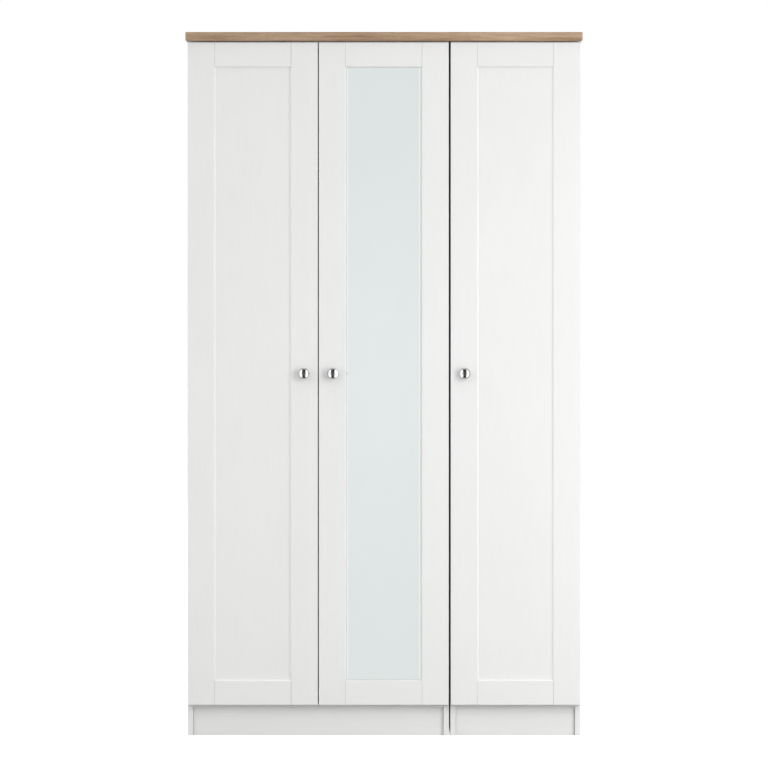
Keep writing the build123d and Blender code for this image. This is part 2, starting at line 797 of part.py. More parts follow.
# ------------------------------------------------------------------ doors
def stile_profile(outer_x, way):
    """Plan outline of a stile: bevelled and grooved on its inner edge, rounded outside."""
    bevel = BEVEL + JOINT_LINE
    groove0 = DOOR_FRONT_Y + INFILL_SETBACK
    groove1 = groove0 + INFILL_T
    inner_x = outer_x + way * STILE_W
    with BuildLine() as outline:
        Polyline(
            (outer_x, DOOR_FRONT_Y),
            (inner_x - way * bevel, DOOR_FRONT_Y),
            (inner_x, DOOR_FRONT_Y + bevel),
            (inner_x, groove0),
            (inner_x - way * INFILL_GROOVE, groove0),
            (inner_x - way * INFILL_GROOVE, groove1),
            (inner_x, groove1),
            (inner_x, DOOR_BACK_Y),
            (outer_x, DOOR_BACK_Y),
            close=True,
        )
    make_face(outline.edges())
    corners = vertices().group_by(Axis.X)[0 if way > 0 else -1].sort_by(Axis.Y)
    fillet(corners[0], DOOR_FRONT_R)
    corners = vertices().group_by(Axis.Y)[-1].sort_by(Axis.X)
    fillet(corners[0 if way > 0 else -1], DOOR_BACK_R)


def make_stile(door, way):
    """A full-height stile: way is +1 for the left one and -1 for the right one."""
    outer_x = door.x0 if way > 0 else door.x1
    with BuildPart() as stile:
        with BuildSketch(Plane.XY.offset(DOOR_Z0)):
            stile_profile(outer_x, way)
        extrude(amount=DOOR_Z1 - DOOR_Z0)
        chamfer(stile.edges().filter_by(Axis.X).group_by(Axis.Y)[0], DOOR_END_CHAMFER)
        if way == door.inward:
            cups = [(door.hinge_x + way * CUP_EDGE, z) for z in HINGE_ZS]
            with Locations(*[Plane((x, DOOR_BACK_Y, z), z_dir=(0, 1, 0)) for x, z in cups]):
                Hole(CUP_R, CUP_DEPTH)
            dowel_x = door.hinge_x + way * (CUP_EDGE + CUP_DOWEL_OFFSET)
            dowel_zs = [z + dz * CUP_DOWEL_PITCH / 2 for z in HINGE_ZS for dz in (-1, 1)]
            with Locations(*[Plane((dowel_x, DOOR_BACK_Y, z), z_dir=(0, 1, 0)) for z in dowel_zs]):
                Hole(CUP_DOWEL_R, CUP_DOWEL_L)
        else:
            with Locations(Plane((door.knob_x, DOOR_BACK_Y, KNOB_Z), z_dir=(0, 1, 0))):
                Hole(KNOB_SCREW_R)
    save(stile, f"{door.name}_{'left' if way > 0 else 'right'}_stile")


def make_rail(door, name, z0, way):
    """A rail with coped ends and tongues: way points from the rail towards the infill."""
    left = door.x0 + STILE_W
    right = door.x1 - STILE_W
    groove0 = DOOR_FRONT_Y + INFILL_SETBACK
    groove1 = groove0 + INFILL_T
    tongue = INFILL_GROOVE - GROOVE_CLEAR
    with BuildPart() as rail:
        with BuildSketch(Plane.XY.offset(z0)):
            with BuildLine():
                Polyline(
                    (left - BEVEL, DOOR_FRONT_Y),
                    (right + BEVEL, DOOR_FRONT_Y),
                    (right, DOOR_FRONT_Y + BEVEL),
                    (right, groove0),
                    (right + tongue, groove0),
                    (right + tongue, groove1),
                    (right, groove1),
                    (right, DOOR_BACK_Y),
                    (left, DOOR_BACK_Y),
                    (left, groove1),
                    (left - tongue, groove1),
                    (left - tongue, groove0),
                    (left, groove0),
                    (left, DOOR_FRONT_Y + BEVEL),
                    close=True,
                )
            make_face()
        extrude(amount=RAIL_W)
        front_edges = rail.edges().filter_by(Axis.X).group_by(Axis.Y)[0].sort_by(Axis.Z)
        inner, outer = (front_edges[-1], front_edges[0]) if way > 0 else front_edges
        chamfer(outer, DOOR_END_CHAMFER)
        chamfer(inner, BEVEL)
        groove_z = z0 + RAIL_W - INFILL_GROOVE if way > 0 else z0
        box_between(
            left - INFILL_GROOVE,
            right + INFILL_GROOVE,
            groove0,
            groove1,
            groove_z,
            groove_z + INFILL_GROOVE,
            mode=Mode.SUBTRACT,
        )
    save(rail, f"{door.name}_{name}")


def make_infill(door):
    """The flat panel that floats in the grooves of the frame."""
    reach = INFILL_GROOVE - GROOVE_CLEAR
    front = DOOR_FRONT_Y + INFILL_SETBACK
    with BuildPart() as infill:
        box_between(
            door.x0 + STILE_W - reach,
            door.x1 - STILE_W + reach,
            front,
            front + INFILL_T,
            INFILL_Z0 - reach,
            INFILL_Z1 + reach,
        )
    save(infill, f"{door.name}_panel")


def make_mirror_glass(door):
    """A bevelled sheet of mirror glass, bonded to the front of the infill panel."""
    width = door.x1 - door.x0 - 2 * (STILE_W + GLASS_CLEAR)
    height = INFILL_Z1 - INFILL_Z0 - 2 * GLASS_CLEAR
    middle = ((door.x0 + door.x1) / 2, DOOR_FRONT_Y + INFILL_SETBACK, KNOB_Z)
    back = Plane(middle, x_dir=(1, 0, 0), z_dir=(0, -1, 0))
    with BuildPart() as glass:
        with BuildSketch(back):
            Rectangle(width, height)
        extrude(amount=GLASS_T - GLASS_BEVEL_T)
        with BuildSketch(back.offset(GLASS_T - GLASS_BEVEL_T)):
            Rectangle(width, height)
        with BuildSketch(back.offset(GLASS_T)):
            Rectangle(width - 2 * GLASS_BEVEL_W, height - 2 * GLASS_BEVEL_W)
        loft(ruled=True)
    save(glass, f"{door.name}_glass")


def make_knob(door):
    """A turned ball knob on a short waisted stem, and the screw that holds it."""
    base_r = 8.5
    neck_r = 5.5
    neck_h = 4.2
    equator = KNOB_OUT - KNOB_R
    with BuildPart() as ball:
        with BuildSketch(Plane.XZ):
            with BuildLine():
                Polyline((0, 0), (base_r, 0), (base_r, 1.0))
                Bezier((base_r, 1.0), (neck_r + 0.6, 1.6), (neck_r, neck_h))
                Bezier((neck_r, neck_h), (14.5, neck_h + 0.4), (KNOB_R, 9.5), (KNOB_R, equator))
                RadiusArc((KNOB_R, equator), (0, KNOB_OUT), -KNOB_R)
                Line((0, KNOB_OUT), (0, 0))
            make_face()
        revolve(axis=Axis.Z)
        with Locations(Plane.XY.rotated((180, 0, 0))):
            Hole(KNOB_SCREW_R, KNOB_SCREW_BITE + 0.5)
    front = Plane((door.knob_x, DOOR_FRONT_Y, KNOB_Z), z_dir=(0, -1, 0))
    save(group_of(ball.part, [front]), f"{door.name}_knob")
    head_r = 4.0
    head_t = 2.4
    reach = DOOR_T + KNOB_SCREW_BITE
    screw = revolved(
        (0, -reach),
        (KNOB_SCREW_R, -reach),
        (KNOB_SCREW_R, 0),
        (head_r, 0),
        (head_r, head_t - 1.0),
        (head_r - 1.2, head_t),
        (0, head_t),
    )
    back = Plane((door.knob_x, DOOR_BACK_Y, KNOB_Z), z_dir=(0, 1, 0))
    save(group_of(screw, [back]), f"{door.name}_knob_screw")


def make_door(door):
    make_stile(door, 1)
    make_stile(door, -1)
    make_rail(door, "top_rail", INFILL_Z1, -1)
    make_rail(door, "bottom_rail", DOOR_Z0, 1)
    make_infill(door)
    make_knob(door)
    for name, piece in (("hinge_cups", hinge_cup()), ("hinge_pins", pivot_pin())):
        handed = piece if door.hinged_left else flipped(piece)
        save(group_of(handed, door.hinge_places), f"{door.name}_{name}")
    if door.mirrored:
        make_mirror_glass(door)


def main():
    os.makedirs("parts", exist_ok=True)
    make_top_board()
    make_top_fixing_screws()
    for unit in UNITS:
        make_carcass(unit)
    make_carcass_dowels()
    make_cam_pins()
    make_cam_locks()
    make_fitting_screws()
    make_shelf_pins()
    make_rail_sockets()
    make_unit_connectors()
    make_door_buffers()
    make_carcass_hinge_parts()
    for door in DOORS:
        make_door(door)


if __name__ == "__main__":
    main()
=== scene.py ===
"""Looks of the triple wardrobe: finishes for the carcasses, doors, mirror and fittings,
turned knobs and recessed screws, and a plain white studio round them.

Metres, +Z up, doors facing -Y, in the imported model's own frame.
"""

import json
import math

import bmesh
import bpy
from bpy.props import FloatProperty, FloatVectorProperty, IntProperty, PointerProperty
from mathutils import Matrix, Vector

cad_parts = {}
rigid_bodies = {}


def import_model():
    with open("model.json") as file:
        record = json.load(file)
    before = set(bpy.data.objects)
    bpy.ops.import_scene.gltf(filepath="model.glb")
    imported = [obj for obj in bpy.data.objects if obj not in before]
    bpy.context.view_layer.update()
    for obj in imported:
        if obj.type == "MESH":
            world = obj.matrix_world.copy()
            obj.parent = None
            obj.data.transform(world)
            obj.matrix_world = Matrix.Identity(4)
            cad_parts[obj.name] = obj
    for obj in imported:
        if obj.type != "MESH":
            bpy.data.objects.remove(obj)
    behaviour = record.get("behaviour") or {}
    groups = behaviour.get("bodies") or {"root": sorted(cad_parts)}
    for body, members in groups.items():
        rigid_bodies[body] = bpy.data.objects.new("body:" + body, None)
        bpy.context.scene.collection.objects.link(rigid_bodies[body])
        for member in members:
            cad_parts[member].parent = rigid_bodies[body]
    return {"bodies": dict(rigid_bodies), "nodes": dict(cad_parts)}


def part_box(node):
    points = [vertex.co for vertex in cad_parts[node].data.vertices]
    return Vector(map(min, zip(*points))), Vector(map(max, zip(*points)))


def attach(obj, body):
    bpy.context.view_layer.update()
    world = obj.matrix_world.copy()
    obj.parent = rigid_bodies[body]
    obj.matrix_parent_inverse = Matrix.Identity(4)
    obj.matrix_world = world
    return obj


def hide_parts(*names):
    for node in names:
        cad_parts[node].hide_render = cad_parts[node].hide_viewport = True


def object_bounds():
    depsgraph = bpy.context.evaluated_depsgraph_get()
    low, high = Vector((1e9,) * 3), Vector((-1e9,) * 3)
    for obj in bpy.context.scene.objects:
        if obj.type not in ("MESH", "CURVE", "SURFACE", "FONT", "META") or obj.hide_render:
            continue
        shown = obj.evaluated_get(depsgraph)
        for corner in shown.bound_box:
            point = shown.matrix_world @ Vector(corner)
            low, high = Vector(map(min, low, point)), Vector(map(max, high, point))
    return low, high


bl_info = {
    "name": "Wardrobe finishes",
    "version": (1, 0, 0),
    "blender": (4, 5, 0),
    "location": "View3D > Sidebar > Wardrobe",
    "description": "Dresses the wardrobe's parts and sets up a white studio",
    "category": "Object",
}

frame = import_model()
CAD_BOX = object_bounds()
NODES = frame["nodes"]
DOORS = [name for name in frame["bodies"] if name.endswith("_door")]
MM = 0.001


# ------------------------------------------------------------------ colours and nodes
def linear(hex_colour):
    """An sRGB hex colour as linear red, green and blue."""
    values = [int(hex_colour[i : i + 2], 16) / 255 for i in (1, 3, 5)]
    return tuple(
        v / 12.92 if v <= 0.04045 else ((v + 0.055) / 1.055) ** 2.4 for v in values
    )


def shade(colour, factor=1.0):
    """A linear colour made darker or lighter, with the alpha that a node socket needs."""
    return (*(min(1.0, c * factor) for c in colour[:3]), 1.0)


WHITE = linear("#FFFFFF")


def add_node(tree, kind, inputs=None, stops=(), **settings):
    """Adds one node with its settings. An input takes a value, an output, or a node, which
    gives its first output; stops are the places and colours of a ramp."""
    made = tree.nodes.new(kind)
    for key, value in settings.items():
        setattr(made, key, value)
    for stop, (place, colour) in enumerate(stops):
        made.color_ramp.elements[stop].position = place
        made.color_ramp.elements[stop].color = colour
    for key, value in (inputs or {}).items():
        if isinstance(value, bpy.types.Node):
            value = value.outputs[0]
        if isinstance(value, bpy.types.NodeSocket):
            tree.links.new(value, made.inputs[key])
        else:
            made.inputs[key].default_value = value
    return made


def start_material(name):
    """An empty material and its node tree."""
    material = bpy.data.materials.new(name)
    material.use_nodes = True
    material.node_tree.nodes.clear()
    return material, material.node_tree


def close_material(tree, colour, gloss, roughness, relief, depth, values):
    """Ends a material in one surface shader. Its roughness follows the gloss pattern
    between two levels, and its relief, depth in metres, follows another or is left out."""
    sheen = {"Value": gloss, "To Min": roughness[0], "To Max": roughness[1]}
    uneven = add_node(tree, "ShaderNodeMapRange", sheen)
    inputs = {"Base Color": colour, "Roughness": uneven}
    if relief is not None:
        height = {"Height": relief, "Strength": 1.0, "Distance": depth}
        inputs["Normal"] = add_node(tree, "ShaderNodeBump", height)
    shader = add_node(tree, "ShaderNodeBsdfPrincipled", {**values, **inputs})
    add_node(tree, "ShaderNodeOutputMaterial", {"Surface": shader})


def grain_field(tree, axis, width, length, detail=4.0, rough=0.6, offset=0.0, place=None):
    """Streaky noise: width across the grain, length along axis (0, 1 or 2), in metres."""
    if place is None:
        place = add_node(tree, "ShaderNodeTexCoord").outputs["Object"]
    scale = [1 / width] * 3
    scale[axis] = 1 / length
    stretched = {"Vector": place, "Scale": scale, "Location": (offset, offset, offset)}
    noise = {"Scale": 1.0, "Detail": detail, "Roughness": rough}
    noise["Vector"] = add_node(tree, "ShaderNodeMapping", stretched)
    return add_node(tree, "ShaderNodeTexNoise", noise)


# ------------------------------------------------------------------ properties
def colour_property(name, hex_colour, description):
    """A colour that a user may change."""
    return FloatVectorProperty(
        name=name,
        description=description,
        subtype="COLOR",
        size=3,
        min=0.0,
        max=1.0,
        default=linear(hex_colour),
    )


def length_property(name, metres, description):
    """A length that a user may change."""
    return FloatProperty(
        name=name,
        description=description,
        default=metres,
        min=0.0,
        subtype="DISTANCE",
        unit="LENGTH",
    )


class WardrobeColours(bpy.types.PropertyGroup):
    """Colours of the finishes."""

    foil: colour_property("Foil", "#EFEFEE", "White foil on the boards and doors")
    oak_light: colour_property("Oak light", "#C4A88B", "Early wood of the oak decor")
    oak_dark: colour_property("Oak dark", "#8F7358", "Late wood and pores of the oak decor")
    oak_dash: colour_property("Oak dashes", "#DDDAD7", "Tint of the decor's dark dashes")
    oak_pore: colour_property("Oak pores", "#CEC8C2", "Tint of the pressed pores")
    fibre: colour_property("Fibreboard", "#A5825C", "Raw rear face of the back panels")
    silver: colour_property("Mirror", "#F0F6F5", "Silvering seen through float glass")
    chrome: colour_property("Chrome", "#C6C8C8", "Bright chrome plate")
    nickel: colour_property("Nickel", "#BDBAB2", "Nickel plate on pressed steel")
    zinc: colour_property("Zinc", "#B4B8BA", "Clear-passivated zinc plate")
    casting: colour_property("Zinc casting", "#8E9092", "As-cast zinc alloy")
    beech: colour_property("Beech", "#C9A377", "Turned beech dowels")
    nylon: colour_property("Nylon", "#E6E5E0", "Moulded spacers")
    buffer: colour_property("Buffer", "#DFE3E2", "Clear polyurethane pads")


class WardrobeSizes(bpy.types.PropertyGroup):
    """Sizes of patterns and of the studio."""

    foil_grain: length_property("Foil grain", 2.2 * MM, "Spacing of the embossed grain")
    foil_grain_length: length_property("Foil grain length", 90 * MM, "Length of a line")
    oak_grain: length_property("Oak grain", 2.6 * MM, "Spacing of the oak decor's lines")
    oak_grain_length: length_property("Oak grain length", 55 * MM, "Length of an oak line")
    camera_distance: length_property("Camera distance", 20.0, "From the doors to the lens")
    picture_height: length_property(
        "Picture height", 2.1504, "What the lens takes in at the doors"
    )
    knob_segments: IntProperty(
        name="Knob segments", description="Facets round a turned knob", default=96, min=12
    )


# ------------------------------------------------------------------ materials
MIDDLE = (0.35, 0.65)  # where most of a noise pattern's values lie
END_FACE = 0.7  # how squarely a face looks along an axis: the ends of a board,
REAR_FACE = 0.5  # its rear face
UNDER_FACE = -0.45  # and its underside
WRAP_WIDTH = 30 * MM  # how far the oak decor goes under the front edge


def pressed_foil(name, axis):
    """White foil pressed over board: satin, with an embossed grain that only shows as a
    slight unevenness in the sheen. The real pores are a few tenths of a millimetre apart,
    too fine to show, so they are drawn a few millimetres apart."""
    foil = bpy.context.scene.wardrobe_colours.foil
    sizes = bpy.context.scene.wardrobe_sizes
    material, tree = start_material(name)
    grain = grain_field(tree, axis, sizes.foil_grain, sizes.foil_grain_length)
    cloud = grain_field(tree, axis, 180 * MM, 400 * MM, detail=2.0, offset=7.0)
    streaks = zip(MIDDLE, (shade(foil, 0.975), shade(foil)))
    drift = zip(MIDDLE, (shade(WHITE, 0.985), shade(WHITE)))
    layers = {
        "Factor": 1.0,
        "A": add_node(tree, "ShaderNodeValToRGB", {"Fac": grain}, streaks),
        "B": add_node(tree, "ShaderNodeValToRGB", {"Fac": cloud}, drift),
    }
    colour = add_node(
        tree, "ShaderNodeMix", layers, data_type="RGBA", blend_type="MULTIPLY"
    )
    values = {"IOR": 1.5, "Specular IOR Level": 0.5}
    close_material(
        tree, colour.outputs["Result"], grain, (0.34, 0.5), grain, 0.05 * MM, values
    )
    return material


def facing_share(tree, axis, limit):
    """1 where a surface looks more than limit along an axis of its object, 0 elsewhere."""
    normal = add_node(tree, "ShaderNodeNewGeometry").outputs["True Normal"]
    turned = add_node(
        tree,
        "ShaderNodeVectorTransform",
        {"Vector": normal},
        vector_type="NORMAL",
        convert_from="WORLD",
        convert_to="OBJECT",
    )
    split = add_node(tree, "ShaderNodeSeparateXYZ", {"Vector": turned})
    test = "LESS_THAN" if limit < 0 else "GREATER_THAN"
    sides = {0: split.outputs[axis], 1: limit}
    return add_node(tree, "ShaderNodeMath", sides, operation=test)


def along_every_edge(tree):
    """Coordinates whose X runs along the board, and along its edging on the two ends."""
    place = add_node(tree, "ShaderNodeTexCoord").outputs["Object"]
    parts = add_node(tree, "ShaderNodeSeparateXYZ", {"Vector": place}).outputs
    swapped = {"X": parts["Y"], "Y": parts["X"], "Z": parts["Z"]}
    turned = add_node(tree, "ShaderNodeCombineXYZ", swapped)
    sides = {0: facing_share(tree, "X", END_FACE), 1: facing_share(tree, "X", -END_FACE)}
    ends = add_node(tree, "ShaderNodeMath", sides, operation="ADD")
    choice = {"Factor": ends, "A": place, "B": turned}
    return add_node(tree, "ShaderNodeMix", choice, data_type="VECTOR").outputs["Result"]


def balancing_paper(tree):
    """The plain off-white paper that backs a laminated board, with its mottle drawn a few
    times coarser than real paper fibres so that it shows."""
    foil = bpy.context.scene.wardrobe_colours.foil
    mottle = grain_field(tree, 0, 2 * MM, 6 * MM)
    paper = zip(MIDDLE, (shade(foil, 0.86), shade(foil, 0.94)))
    return add_node(tree, "ShaderNodeValToRGB", {"Fac": mottle}, paper)


def oak_laminate():
    """Printed oak decor, pressed with a light pore: dull satin with fine dark dashes that
    run along the board over broader warm bands. Real oak pores are 0.2 to 0.4 mm wide, too
    fine to show, so they are drawn 0.9 mm wide and the decor's lines to match."""
    colours = bpy.context.scene.wardrobe_colours
    sizes = bpy.context.scene.wardrobe_sizes
    material, tree = start_material("oak_decor_pressed_laminate")
    run = along_every_edge(tree)
    line_size = (sizes.oak_grain, sizes.oak_grain_length)
    bands = grain_field(tree, 0, 9 * MM, 260 * MM, detail=3.0, place=run)
    lines = grain_field(tree, 0, *line_size, detail=6.0, rough=0.7, place=run)
    pores = grain_field(tree, 0, 0.9 * MM, 16 * MM, detail=2.0, offset=3.0, place=run)
    warm = ((0.3, shade(colours.oak_dark, 1.25)), (0.62, shade(colours.oak_light)))
    dashes = ((0.34, shade(colours.oak_dash)), (0.6, shade(WHITE)))
    pits = ((0.3, shade(colours.oak_pore)), (0.42, shade(WHITE)))
    colour = add_node(tree, "ShaderNodeValToRGB", {"Fac": bands}, warm)
    for pattern, tones, strength in ((lines, dashes, 1.0), (pores, pits, 0.8)):
        tone = add_node(tree, "ShaderNodeValToRGB", {"Fac": pattern}, tones)
        layers = {"Factor": strength, "A": colour, "B": tone}
        layered = add_node(
            tree, "ShaderNodeMix", layers, data_type="RGBA", blend_type="MULTIPLY"
        )
        colour = layered.outputs["Result"]
    # The decor wraps under the front edge; plain paper covers the rest of the underside.
    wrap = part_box("top_board")[0].y + WRAP_WIDTH
    place = add_node(tree, "ShaderNodeTexCoord").outputs["Object"]
    depth = add_node(tree, "ShaderNodeSeparateXYZ", {"Vector": place}).outputs["Y"]
    behind = add_node(tree, "ShaderNodeMath", {0: depth, 1: wrap}, operation="GREATER_THAN")
    under = {0: facing_share(tree, "Z", UNDER_FACE), 1: behind}
    backing = add_node(tree, "ShaderNodeMath", under, operation="MULTIPLY")
    faces = {"Factor": backing, "A": colour, "B": balancing_paper(tree)}
    backed = add_node(tree, "ShaderNodeMix", faces, data_type="RGBA").outputs["Result"]
    close_material(tree, backed, lines, (0.62, 0.42), pores, 0.08 * MM, {"IOR": 1.5})
    return material


def float_mirror():
    """Silvered float glass: a clean reflection, a breath of green from the glass and a
    trace of polishing haze that keeps highlights from being perfectly hard."""
    silver = bpy.context.scene.wardrobe_colours.silver
    material, tree = start_material("silvered_float_glass")
    haze = grain_field(tree, 2, 140 * MM, 200 * MM, detail=3.0)
    tones = zip(MIDDLE, (shade(silver, 0.985), shade(silver)))
    tint = add_node(tree, "ShaderNodeValToRGB", {"Fac": haze}, tones)
    close_material(tree, tint, haze, (0.012, 0.03), None, 0.0, {"Metallic": 1.0})
    return material


def even_material(
    name, colour, darkest, roughness, grit, length, depth, values, axis=0, detail=3.0
):
    """A finish of one colour whose tone, gloss and relief vary together, at the size of its
    grit: width across and length along an axis, with its darkest tone as a share."""
    material, tree = start_material(name)
    speckle = grain_field(tree, axis, grit, length, detail=detail)
    tones = zip(MIDDLE, (shade(colour, darkest), shade(colour)))
    tone = add_node(tree, "ShaderNodeValToRGB", {"Fac": speckle}, tones)
    close_material(tree, tone, speckle, roughness, speckle, depth, values)
    return material


def metal(name, colour, roughness, grit, length, depth, axis=2):
    """A metal whose polish or plating shows as uneven gloss at the size of its grit."""
    return even_material(
        name, colour, 0.94, roughness, grit, length, depth, {"Metallic": 1.0}, axis
    )


def bright_chrome():
    """Chrome plate over buffed zinc: near-perfect mirror with a faint waviness."""
    colour = bpy.context.scene.wardrobe_colours.chrome
    return metal("bright_chrome_plate", colour, (0.03, 0.07), 6 * MM, 6 * MM, 0.004 * MM)


def satin_nickel():
    """Barrel-plated nickel on pressed steel: warm grey, softly glossy, slightly mottled."""
    colour = bpy.context.scene.wardrobe_colours.nickel
    name = "nickel_plate_on_pressed_steel"
    return metal(name, colour, (0.18, 0.34), 3 * MM, 3 * MM, 0.02 * MM)


def bright_zinc():
    """Zinc plate on turned steel: cool and duller than nickel, with turning lines. The real
    lines are about 0.1 mm apart, too fine to show, so they are drawn 0.6 mm apart."""
    colour = bpy.context.scene.wardrobe_colours.zinc
    name = "zinc_plate_on_turned_steel"
    return metal(name, colour, (0.28, 0.42), 0.6 * MM, 3.6 * MM, 0.01 * MM, axis=0)


def cast_zinc():
    """As-cast zinc alloy: dull, dark and lightly pitted. Its pits of about 0.2 mm are drawn
    0.8 mm wide so that they show."""
    colour = bpy.context.scene.wardrobe_colours.casting
    return metal("cast_zinc_alloy", colour, (0.4, 0.6), 0.8 * MM, 0.8 * MM, 0.05 * MM)


def fibreboard():
    """Thin fibreboard: a matt white printed face into the carcass and a raw brown screen
    side to the rear, where the mat of fibres shows. Real fibres are 0.1 to 0.3 mm thick,
    too fine to show, so they are drawn 1.5 mm thick."""
    colours = bpy.context.scene.wardrobe_colours
    material, tree = start_material("white_faced_fibreboard")
    fibres = grain_field(tree, 0, 1.5 * MM, 9 * MM, detail=6.0, rough=0.75)
    clouds = grain_field(tree, 0, 90 * MM, 160 * MM, detail=5.0, offset=1.0)
    mat = add_node(
        tree, "ShaderNodeMix", {"Factor": 0.45, "A": fibres, "B": clouds}, data_type="FLOAT"
    )
    brown = zip((0.36, 0.64), (shade(colours.fibre, 0.74), shade(colours.fibre, 1.16)))
    print_white = zip(MIDDLE, (shade(colours.foil, 0.93), shade(colours.foil, 0.97)))
    faces = {
        "Factor": facing_share(tree, "Y", REAR_FACE),
        "A": add_node(tree, "ShaderNodeValToRGB", {"Fac": fibres}, print_white),
        "B": add_node(tree, "ShaderNodeValToRGB", {"Fac": mat}, brown),
    }
    colour = add_node(tree, "ShaderNodeMix", faces, data_type="RGBA").outputs["Result"]
    close_material(tree, colour, fibres, (0.62, 0.8), fibres, 0.12 * MM, {"IOR": 1.5})
    return material


def turned_beech():
    """Beech dowel: pale pinkish wood with short darker flecks along the grain, bare."""
    colour = bpy.context.scene.wardrobe_colours.beech
    size = (0.7 * MM, 4 * MM, 0.05 * MM)
    return even_material(
        "turned_beech", colour, 0.7, (0.65, 0.8), *size, {"IOR": 1.5}, detail=4.0
    )


def moulded(name, colour, roughness, values):
    """Moulded plastic with the frosting of its tool, drawn 0.5 mm wide because the real
    one, about 0.05 mm, is too fine to show."""
    size = (0.5 * MM, 0.5 * MM, 0.02 * MM)
    return even_material(name, colour, 0.96, roughness, *size, values)


def moulded_nylon():
    """White nylon: milky and matt."""
    colour = bpy.context.scene.wardrobe_colours.nylon
    return moulded("moulded_nylon", colour, (0.45, 0.6), {"IOR": 1.53})


def clear_polyurethane():
    """Cast clear polyurethane pads: glassy, soft-edged and faintly milky."""
    colour = bpy.context.scene.wardrobe_colours.buffer
    values = {"IOR": 1.49, "Transmission Weight": 0.6}
    return moulded("cast_clear_polyurethane", colour, (0.08, 0.16), values)


# ------------------------------------------------------------------ dressing the nodes
def dress(names, material):
    """Gives CAD nodes one finish."""
    if not names:
        raise RuntimeError(f"no node takes {material.name}")
    for name in names:
        slots = NODES[name].data.materials
        slots.clear()
        slots.append(material)


def named(*endings):
    """The CAD nodes whose names end in one of these."""
    found = [name for name in NODES if name.endswith(endings)]
    if not found:
        raise RuntimeError(f"no node is named {' or '.join(endings)}")
    return found


class WARDROBE_OT_vertical_boards(bpy.types.Operator):
    """Foils the boards whose grain stands upright: sides, stiles and door panels"""

    bl_idname = "wardrobe.vertical_boards"
    bl_label = "Foil upright boards"

    def execute(self, context):
        doors = [name for name in named("_panel") if name.split("_panel")[0] in DOORS]
        dress(named("_side", "_stile") + doors, pressed_foil("white_ash_foil_upright", 2))
        return {"FINISHED"}


class WARDROBE_OT_level_boards(bpy.types.Operator):
    """Foils the boards whose grain lies level: rails, bases, sub-tops, shelves, plinths"""

    bl_idname = "wardrobe.level_boards"
    bl_label = "Foil level boards"

    def execute(self, context):
        names = named(
            "_top_rail", "_bottom_rail", "_base_panel", "_sub_top", "_shelf", "_plinth"
        )
        dress(names, pressed_foil("white_ash_foil_level", 0))
        return {"FINISHED"}


class WARDROBE_OT_top_board(bpy.types.Operator):
    """Finishes the top board in oak laminate"""

    bl_idname = "wardrobe.top_board"
    bl_label = "Oak top board"

    def execute(self, context):
        dress(["top_board"], oak_laminate())
        return {"FINISHED"}


class WARDROBE_OT_back_panels(bpy.types.Operator):
    """Finishes both faces of the back panels"""

    bl_idname = "wardrobe.back_panels"
    bl_label = "Back panels"

    def execute(self, context):
        dress(named("_back_panel"), fibreboard())
        return {"FINISHED"}


class WARDROBE_OT_mirror(bpy.types.Operator):
    """Silvers the mirror of the middle door"""

    bl_idname = "wardrobe.mirror"
    bl_label = "Mirror"

    def execute(self, context):
        dress(named("_glass"), float_mirror())
        return {"FINISHED"}


class WARDROBE_OT_hanging_rails(bpy.types.Operator):
    """Chromes the hanging rails and their end sockets"""

    bl_idname = "wardrobe.hanging_rails"
    bl_label = "Hanging rails"

    def execute(self, context):
        dress(named("_hanging_rail") + ["rail_sockets"], bright_chrome())
        return {"FINISHED"}


class WARDROBE_OT_hinges(bpy.types.Operator):
    """Plates the hinge arms, mounting plates, cups and pins"""

    bl_idname = "wardrobe.hinges"
    bl_label = "Hinges"

    def execute(self, context):
        fixed = ["hinge_arms", "hinge_mounting_plates"]
        dress(fixed + named("_hinge_cups"), satin_nickel())
        dress(named("_hinge_pins"), bright_zinc())
        return {"FINISHED"}


class WARDROBE_OT_hidden_fittings(bpy.types.Operator):
    """Finishes dowels, cams, pins, connectors, spacers and door buffers"""

    bl_idname = "wardrobe.hidden_fittings"
    bl_label = "Hidden fittings"

    def execute(self, context):
        dress(["carcass_dowels"], turned_beech())
        dress(["cam_locks"], cast_zinc())
        dress(["cam_pins", "unit_connectors", "shelf_pins"], bright_zinc())
        dress(["connector_spacers"], moulded_nylon())
        dress(["door_buffers"], clear_polyurethane())
        return {"FINISHED"}


# ------------------------------------------------------------------ turned pieces
WELD = 0.001 * MM  # points nearer than this are one


def lathe(outline, segments):
    """A closed round mesh about Z from an outline of (radius, height) points, in metres."""
    mesh = bmesh.new()
    verts = [mesh.verts.new((radius, 0, height)) for radius, height in outline]
    edges = [mesh.edges.new(pair) for pair in zip(verts, verts[1:])]
    bmesh.ops.spin(
        mesh,
        geom=verts + edges,
        cent=(0, 0, 0),
        axis=(0, 0, 1),
        angle=2 * math.pi,
        steps=segments,
        use_merge=True,
    )
    bmesh.ops.remove_doubles(mesh, verts=mesh.verts, dist=WELD)
    bmesh.ops.recalc_face_normals(mesh, faces=mesh.faces)
    for face in mesh.faces:
        face.smooth = True
    return mesh


def arc_points(centre, radius, start, end, count):
    """Points on an arc in (radius, height), angles in degrees from straight outwards."""
    across, up = centre
    angles = [math.radians(start + (end - start) * i / count) for i in range(count + 1)]
    return [(across + radius * math.cos(a), up + radius * math.sin(a)) for a in angles]


def mesh_object(name, mesh):
    """Turns a bmesh into an object of the scene."""
    data = bpy.data.meshes.new(name)
    mesh.to_mesh(data)
    mesh.free()
    made = bpy.data.objects.new(name, data)
    bpy.context.collection.objects.link(made)
    return made


def add_piece(name, mesh, material, body):
    """Turns a bmesh into a piece that rides on a body."""
    piece = mesh_object(name, mesh)
    piece.data.materials.append(material)
    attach(piece, body)
    return piece


